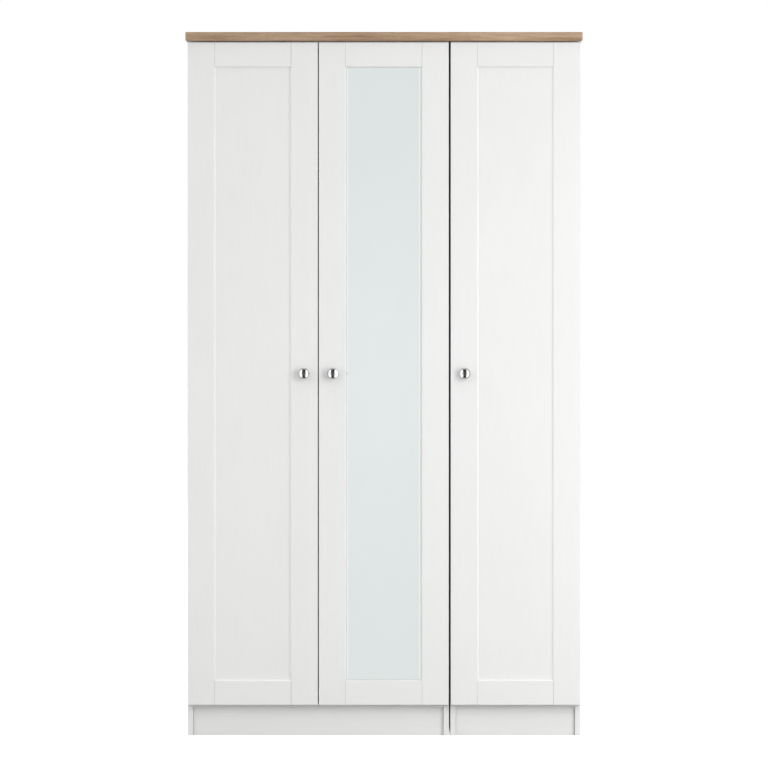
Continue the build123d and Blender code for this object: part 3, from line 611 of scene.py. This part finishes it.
# A knob's foot, waist and the lip of its foot, as shares of the ball's radius.
KNOB_FOOT = 0.515
KNOB_WAIST = 0.333
KNOB_LIP = 0.06
WAIST_HEIGHT = 0.27  # of the way from the door to the ball's middle
WAIST_FLARE = 0.1  # how much wider the waist is at its foot
BACK_STEPS = 14
CROWN_STEPS = 24
LIP_STEPS = 6


def knob_outline(radius, reach):
    """Foot, waist and ball of a knob, from the door face out to its crown."""
    foot = KNOB_FOOT * radius
    waist = KNOB_WAIST * radius
    lip = KNOB_LIP * radius
    equator = reach - radius
    waist_height = WAIST_HEIGHT * equator
    out, up = radius - waist, equator - waist_height
    turns = [math.pi / 2 * i / BACK_STEPS for i in range(BACK_STEPS + 1)]
    back = [(waist + out * math.sin(t), equator - up * math.cos(t)) for t in turns]
    crown = arc_points((0, equator), radius, 0, 90, CROWN_STEPS)
    return (
        [(0, 0), (foot - lip, 0)]
        + arc_points((foot - lip, lip), lip, -90, 60, LIP_STEPS)
        + [(waist + WAIST_FLARE * radius, 0.55 * waist_height), (waist, 0.8 * waist_height)]
        + back
        + crown[1:-1]
        + [(0, reach)]
    )


class WARDROBE_OT_knobs(bpy.types.Operator):
    """Turns a smooth ball knob for each door"""

    bl_idname = "wardrobe.knobs"
    bl_label = "Knobs"

    def execute(self, context):
        chrome = bright_chrome()
        segments = context.scene.wardrobe_sizes.knob_segments
        for door in DOORS:
            low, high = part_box(f"{door}_knob")
            mesh = lathe(knob_outline((high.x - low.x) / 2, high.y - low.y), segments)
            middle = (low + high) / 2
            place = Matrix.Translation((middle.x, high.y, middle.z))
            mesh.transform(place @ Matrix.Rotation(math.pi / 2, 4, "X"))
            knob = add_piece(f"{door}_turned_knob", mesh, chrome, door)
            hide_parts(f"{door}_knob")
        return {"FINISHED"}


# ------------------------------------------------------------------ screws
def solids_of(node):
    """The separate solids of a CAD node, each as the list of its vertex places."""
    mesh = bmesh.new()
    mesh.from_mesh(NODES[node].data)
    bmesh.ops.remove_doubles(mesh, verts=mesh.verts, dist=WELD)
    seen = set()
    solids = []
    for first in mesh.verts:
        if first in seen:
            continue
        seen.add(first)
        to_visit = [first]
        places = []
        while to_visit:
            vert = to_visit.pop()
            places.append(vert.co.copy())
            for edge in vert.link_edges:
                other = edge.other_vert(vert)
                if other not in seen:
                    seen.add(other)
                    to_visit.append(other)
        solids.append(places)
    mesh.free()
    return solids


RIM_SHARE = 0.97  # points at least this far out belong to the rim of a screw's head


def screw_frame(places):
    """A screw's own frame, with its origin on the crown and Z out of the head, then the
    head's radius and the screw's length."""
    low = Vector([min(p[i] for p in places) for i in range(3)])
    high = Vector([max(p[i] for p in places) for i in range(3)])
    size = high - low
    spread = [abs(size[(i + 1) % 3] - size[(i + 2) % 3]) for i in range(3)]
    axis = spread.index(min(spread))
    middle = (low + high) / 2
    radius = size[(axis + 1) % 3] / 2
    wide = [p[axis] for p in places if (p - middle)[(axis + 1) % 3] > RIM_SHARE * radius]
    way = 1 if sum(wide) / len(wide) > middle[axis] else -1
    direction = Vector((0, 0, 0))
    direction[axis] = way
    crown = middle + direction * size[axis] / 2
    turn = direction.to_track_quat("Z", "X").to_matrix().to_4x4()
    return Matrix.Translation(crown) @ turn, radius, size[axis]


# A recess wing's width and thickness at the crown and at its foot, as shares of its radius.
RECESS_MOUTH = (1.1, 0.24)
RECESS_FOOT = (0.55, 0.12)
RECESS_OVERLAP = 0.2  # how far the cutter stands out of the crown, as a share of its depth


def cut_recess(mesh, radius, depth):
    """Cuts a cross recess, tapered to its foot, into the crown of a screw at the origin."""
    wings = bmesh.new()
    for turn in (0, math.pi / 2):
        wing = bmesh.ops.create_cube(wings, size=1.0)["verts"]
        for vert in wing:
            at_foot = vert.co.z < 0
            width, thickness = RECESS_FOOT if at_foot else RECESS_MOUTH
            vert.co.x *= width * radius
            vert.co.y *= thickness * radius
            vert.co.z = -depth if at_foot else depth * RECESS_OVERLAP
        spin = Matrix.Rotation(turn, 3, "Z")
        bmesh.ops.rotate(wings, verts=wing, cent=(0, 0, 0), matrix=spin)
    blank = mesh_object("screw_blank", mesh)
    cutter = mesh_object("recess_cutter", wings)
    cut = blank.modifiers.new("recess", "BOOLEAN")
    cut.operation = "DIFFERENCE"
    cut.solver = "EXACT"
    cut.use_self = True
    cut.object = cutter
    result = bmesh.new()
    result.from_mesh(blank.evaluated_get(bpy.context.evaluated_depsgraph_get()).to_mesh())
    bpy.data.objects.remove(blank)
    bpy.data.objects.remove(cutter)
    if not result.faces:
        raise RuntimeError("a screw's recess left no mesh")
    return result


PAN_FLAT = 0.55  # the flat middle of a pan head, as a share of its radius
PAN_ROUND = 0.6  # how far down its rounded shoulder is centred, as a share of its thickness
PAN_POINT = 2.5  # the length of a screw's point, in shank radii
FLAT_POINT = 2.0
FLAT_EDGE = 0.02  # the blunt edge of a flat head, as a share of its radius


def pan_outline(head_r, head_t, shank_r, length):
    """A pan head on a shank with a drill point, crown at height 0."""
    shoulder = (PAN_FLAT * head_r, -PAN_ROUND * head_t)
    return (
        [(0, 0), (PAN_FLAT * head_r, 0)]
        + arc_points(shoulder, (1 - PAN_FLAT) * head_r, 78, 0, 6)
        + [(head_r, -head_t), (shank_r, -head_t)]
        + [(shank_r, PAN_POINT * shank_r - length), (0, -length)]
    )


def flat_outline(head_r, shank_r, length):
    """A countersunk head on a shank with a point, crown at height 0."""
    return [
        (0, 0),
        ((1 - 2 * FLAT_EDGE) * head_r, 0),
        (head_r, -FLAT_EDGE * head_r),
        (shank_r, shank_r - head_r),
        (shank_r, FLAT_POINT * shank_r - length),
        (0, -length),
    ]


SHANK_SHARE = 0.5  # of a head's radius
SCREW_SEGMENTS = 32
RECESS_WIDTH = 0.62  # of a head's radius
RECESS_DEPTH = 0.75  # of a head's thickness

# Each node of screws: the body that it rides on, its kind of head and the head's thickness.
SCREWS = {
    "fitting_screws": ("carcass", "pan", 2.0 * MM),
    "hinge_clamp_screws": ("carcass", "cheese", 1.5 * MM),
    "top_fixing_screws": ("carcass", "flat", 2.0 * MM),
    **{f"{door}_knob_screw": (door, "pan", 2.4 * MM) for door in DOORS},
}


class WARDROBE_OT_screws(bpy.types.Operator):
    """Makes every visible screw with a cross recess in its head"""

    bl_idname = "wardrobe.screws"
    bl_label = "Screws"

    def execute(self, context):
        steel = bright_zinc()
        nickel = satin_nickel()
        for node, (body, kind, head_t) in SCREWS.items():
            solids = [screw_frame(places) for places in solids_of(node)]
            _, head_r, length = solids[0]
            shank_r = SHANK_SHARE * head_r
            if kind == "flat":
                outline = flat_outline(head_r, shank_r, length)
            else:
                outline = pan_outline(head_r, head_t, shank_r, length)
            blank = lathe(outline, SCREW_SEGMENTS)
            master = cut_recess(blank, RECESS_WIDTH * head_r, RECESS_DEPTH * head_t)
            pattern = bpy.data.meshes.new(f"{node}_pattern")
            master.to_mesh(pattern)
            master.free()
            group = bmesh.new()
            for place, _, _ in solids:
                copy = pattern.copy()
                copy.transform(place)
                group.from_mesh(copy)
                bpy.data.meshes.remove(copy)
            bpy.data.meshes.remove(pattern)
            finish = nickel if kind == "cheese" else steel
            piece = add_piece(f"{node}_recessed", group, finish, body)
            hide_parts(node)
        return {"FINISHED"}


# ------------------------------------------------------------------ studio
FLOOR_RADIUS = 40.0
FLOOR_SIDES = 96
FLOOR_MATT = linear("#AAAAAA")
FLOOR_SEEN = linear("#9E9E9E")
FLOOR_GLOW = 0.86
CURTAIN_EDGE = 0.44  # half its width, as a part of a reflected ray's direction
CURTAIN_FLARE = 0.1  # how much wider it gets towards the roof
CURTAIN_BLUR = 0.04
CURTAIN_TONE = 0.08
SLIT_START, SLIT_END = 0.009, 0.014  # half the width of the slit in the curtain
SLIT_HEIGHT = 0.05
SLIT_GLOW, SLIT_GLOW_END = 0.895, 0.84  # its brightness level with the lens and above
ROOF_START, ROOF_END, ROOF_TONE = 0.76, 0.9, 0.3
DOME_STRENGTH = 0.895
AIM = (CAD_BOX[0] + CAD_BOX[1]) / 2
SENSOR_WIDTH = 36.0  # millimetres
CLIP_END = 100.0

# Name, place, width, height and watts, and whether it lights matt surfaces or shows in
# polished ones.
SOFTBOXES = (
    ("key_softbox", (1.5, -2.2, 1.1), 0.8, 2.4, 27.0, True, False),
    ("fill_softbox", (-2.0, -1.9, 1.1), 0.8, 2.4, 7.0, True, False),
    ("right_glint", (1.9, -1.0, 1.0), 1.0, 7.0, 48.0, False, True),
    ("left_glint", (-1.9, -1.0, 1.0), 1.0, 7.0, 48.0, False, True),
)


def stage_floor():
    """A pale disc. The lens sees it nearly as white as the dome, with the faintest contact
    shadow, and everything else sees a plain matt floor."""
    mesh = bmesh.new()
    bmesh.ops.create_circle(mesh, cap_ends=True, radius=FLOOR_RADIUS, segments=FLOOR_SIDES)
    floor = mesh_object("studio_floor", mesh)
    material, tree = start_material("matt_white_studio_floor")
    matt = {"Base Color": shade(FLOOR_MATT), "Roughness": 0.9}
    lit = {**matt, "Base Color": shade(FLOOR_SEEN)}
    lit.update({"Emission Color": shade(WHITE), "Emission Strength": FLOOR_GLOW})
    share = {
        0: add_node(tree, "ShaderNodeLightPath").outputs["Is Camera Ray"],
        1: add_node(tree, "ShaderNodeBsdfPrincipled", matt),
        2: add_node(tree, "ShaderNodeBsdfPrincipled", lit),
    }
    both = add_node(tree, "ShaderNodeMixShader", share)
    add_node(tree, "ShaderNodeOutputMaterial", {"Surface": both})
    floor.data.materials.append(material)
    floor.visible_glossy = False


def seen_in_polish(tree):
    """What polished metal sees of the studio: a dark curtain in front, wider at its top
    and parted by a narrow slit that keeps the mirror pale to the lens, and a dim roof and
    ground."""
    way = add_node(tree, "ShaderNodeTexCoord").outputs["Generated"]
    x, y, z = add_node(tree, "ShaderNodeSeparateXYZ", {"Vector": way}).outputs
    across = add_node(tree, "ShaderNodeMath", {0: x}, operation="ABSOLUTE")
    height = add_node(tree, "ShaderNodeMath", {0: z}, operation="ABSOLUTE")
    flare = {0: z, 1: CURTAIN_FLARE, 2: CURTAIN_EDGE}
    hem = add_node(tree, "ShaderNodeMath", flare, operation="MULTIPLY_ADD")
    past_hem = add_node(tree, "ShaderNodeMath", {0: across, 1: hem}, operation="SUBTRACT")
    blur = {"Value": past_hem, "From Min": -CURTAIN_BLUR, "From Max": CURTAIN_BLUR}
    beside = add_node(tree, "ShaderNodeMapRange", blur, interpolation_type="SMOOTHSTEP")
    behind = add_node(tree, "ShaderNodeMath", {0: y, 1: 0.0}, operation="GREATER_THAN")
    dome = add_node(tree, "ShaderNodeMath", {0: beside, 1: behind}, operation="MAXIMUM")
    rise = {"Value": height, "From Min": 0.0, "From Max": SLIT_HEIGHT}
    rise.update({"To Min": SLIT_GLOW, "To Max": SLIT_GLOW_END})
    glow = add_node(tree, "ShaderNodeMapRange", rise, interpolation_type="SMOOTHSTEP")
    sides = {"Value": across, "From Min": SLIT_START, "From Max": SLIT_END}
    sides.update({"To Min": 1.0, "To Max": 0.0})
    part = add_node(tree, "ShaderNodeMapRange", sides, interpolation_type="SMOOTHSTEP")
    slit = add_node(tree, "ShaderNodeMath", {0: glow, 1: part}, operation="MULTIPLY")
    opened = add_node(tree, "ShaderNodeMath", {0: dome, 1: slit}, operation="MAXIMUM")
    tone = {0: opened, 1: CURTAIN_TONE}
    level = add_node(tree, "ShaderNodeMath", tone, operation="MAXIMUM")
    fade = {"Value": height, "From Min": ROOF_START, "From Max": ROOF_END}
    fade.update({"To Min": 1.0, "To Max": ROOF_TONE})
    roof = add_node(tree, "ShaderNodeMapRange", fade, interpolation_type="SMOOTHSTEP")
    return add_node(tree, "ShaderNodeMath", {0: roof, 1: level}, operation="MULTIPLY")


def stage_world():
    """White to the lens, an even dome for light, and the curtain for polished metal."""
    world = bpy.data.worlds.new("studio_dome")
    bpy.context.scene.world = world
    world.use_nodes = True
    tree = world.node_tree
    tree.nodes.clear()
    path = add_node(tree, "ShaderNodeLightPath").outputs
    backdrops = []
    for strength in (DOME_STRENGTH, seen_in_polish(tree), 1.0):
        light = {"Color": shade(WHITE), "Strength": strength}
        backdrops.append(add_node(tree, "ShaderNodeBackground", light))
    lit = {0: path["Is Glossy Ray"], 1: backdrops[0], 2: backdrops[1]}
    seen = {0: path["Is Camera Ray"], 2: backdrops[2]}
    seen[1] = add_node(tree, "ShaderNodeMixShader", lit)
    both = add_node(tree, "ShaderNodeMixShader", seen)
    add_node(tree, "ShaderNodeOutputWorld", {"Surface": both})


def add_softbox(name, place, width, height, watts, fills, glints):
    """A rectangular softbox aimed at the wardrobe, which fills matt surfaces with light or
    shows as a glint in polished ones."""
    light = bpy.data.lights.new(name, "AREA")
    light.shape = "RECTANGLE"
    light.size = width
    light.size_y = height
    light.energy = watts
    lamp = bpy.data.objects.new(name, light)
    lamp.location = place
    lamp.visible_diffuse = fills
    lamp.visible_glossy = glints
    lamp.rotation_mode = "QUATERNION"
    lamp.rotation_quaternion = (AIM - Vector(place)).to_track_quat("-Z", "Y")
    bpy.context.collection.objects.link(lamp)


def stage_camera():
    """A long lens square to the doors, level with the middle of the wardrobe."""
    sizes = bpy.context.scene.wardrobe_sizes
    camera = bpy.data.cameras.new("studio_camera")
    camera.sensor_width = SENSOR_WIDTH
    camera.lens = SENSOR_WIDTH * sizes.camera_distance / sizes.picture_height
    camera.clip_end = CLIP_END
    stand = bpy.data.objects.new("studio_camera", camera)
    door_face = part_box(f"{DOORS[0]}_panel")[0].y
    stand.location = (AIM.x, door_face - sizes.camera_distance, AIM.z)
    stand.rotation_euler = (math.pi / 2, 0, 0)
    bpy.context.collection.objects.link(stand)
    bpy.context.scene.camera = stand


class WARDROBE_OT_studio(bpy.types.Operator):
    """Sets the floor, the dome, the softboxes and the camera"""

    bl_idname = "wardrobe.studio"
    bl_label = "Studio"

    def execute(self, context):
        stage_floor()
        stage_world()
        stage_camera()
        for softbox in SOFTBOXES:
            add_softbox(*softbox)
        context.scene.view_settings.view_transform = "Standard"
        return {"FINISHED"}


class WARDROBE_PT_panel(bpy.types.Panel):
    """Lists the tools in the order they run"""

    bl_idname = "WARDROBE_PT_panel"
    bl_label = "Wardrobe"
    bl_space_type = "VIEW_3D"
    bl_region_type = "UI"
    bl_category = "Wardrobe"

    def draw(self, context):
        for tool in TOOLS:
            self.layout.operator(tool.bl_idname)
        for group in (context.scene.wardrobe_colours, context.scene.wardrobe_sizes):
            for key in group.bl_rna.properties.keys():
                if key not in ("rna_type", "name"):
                    self.layout.prop(group, key)


TOOLS = (
    WARDROBE_OT_vertical_boards,
    WARDROBE_OT_level_boards,
    WARDROBE_OT_top_board,
    WARDROBE_OT_back_panels,
    WARDROBE_OT_mirror,
    WARDROBE_OT_hanging_rails,
    WARDROBE_OT_hinges,
    WARDROBE_OT_hidden_fittings,
    WARDROBE_OT_knobs,
    WARDROBE_OT_screws,
    WARDROBE_OT_studio,
)
CLASSES = (WardrobeColours, WardrobeSizes, *TOOLS, WARDROBE_PT_panel)


def register():
    for cls in CLASSES:
        bpy.utils.register_class(cls)
    bpy.types.Scene.wardrobe_colours = PointerProperty(type=WardrobeColours)
    bpy.types.Scene.wardrobe_sizes = PointerProperty(type=WardrobeSizes)


def unregister():
    del bpy.types.Scene.wardrobe_sizes
    del bpy.types.Scene.wardrobe_colours
    for cls in reversed(CLASSES):
        bpy.utils.unregister_class(cls)


def main():
    """Registers the tools and runs them in order."""
    register()
    for tool in TOOLS:
        group, action = tool.bl_idname.split(".")
        getattr(getattr(bpy.ops, group), action)()


if __name__ == "__main__":
    main()
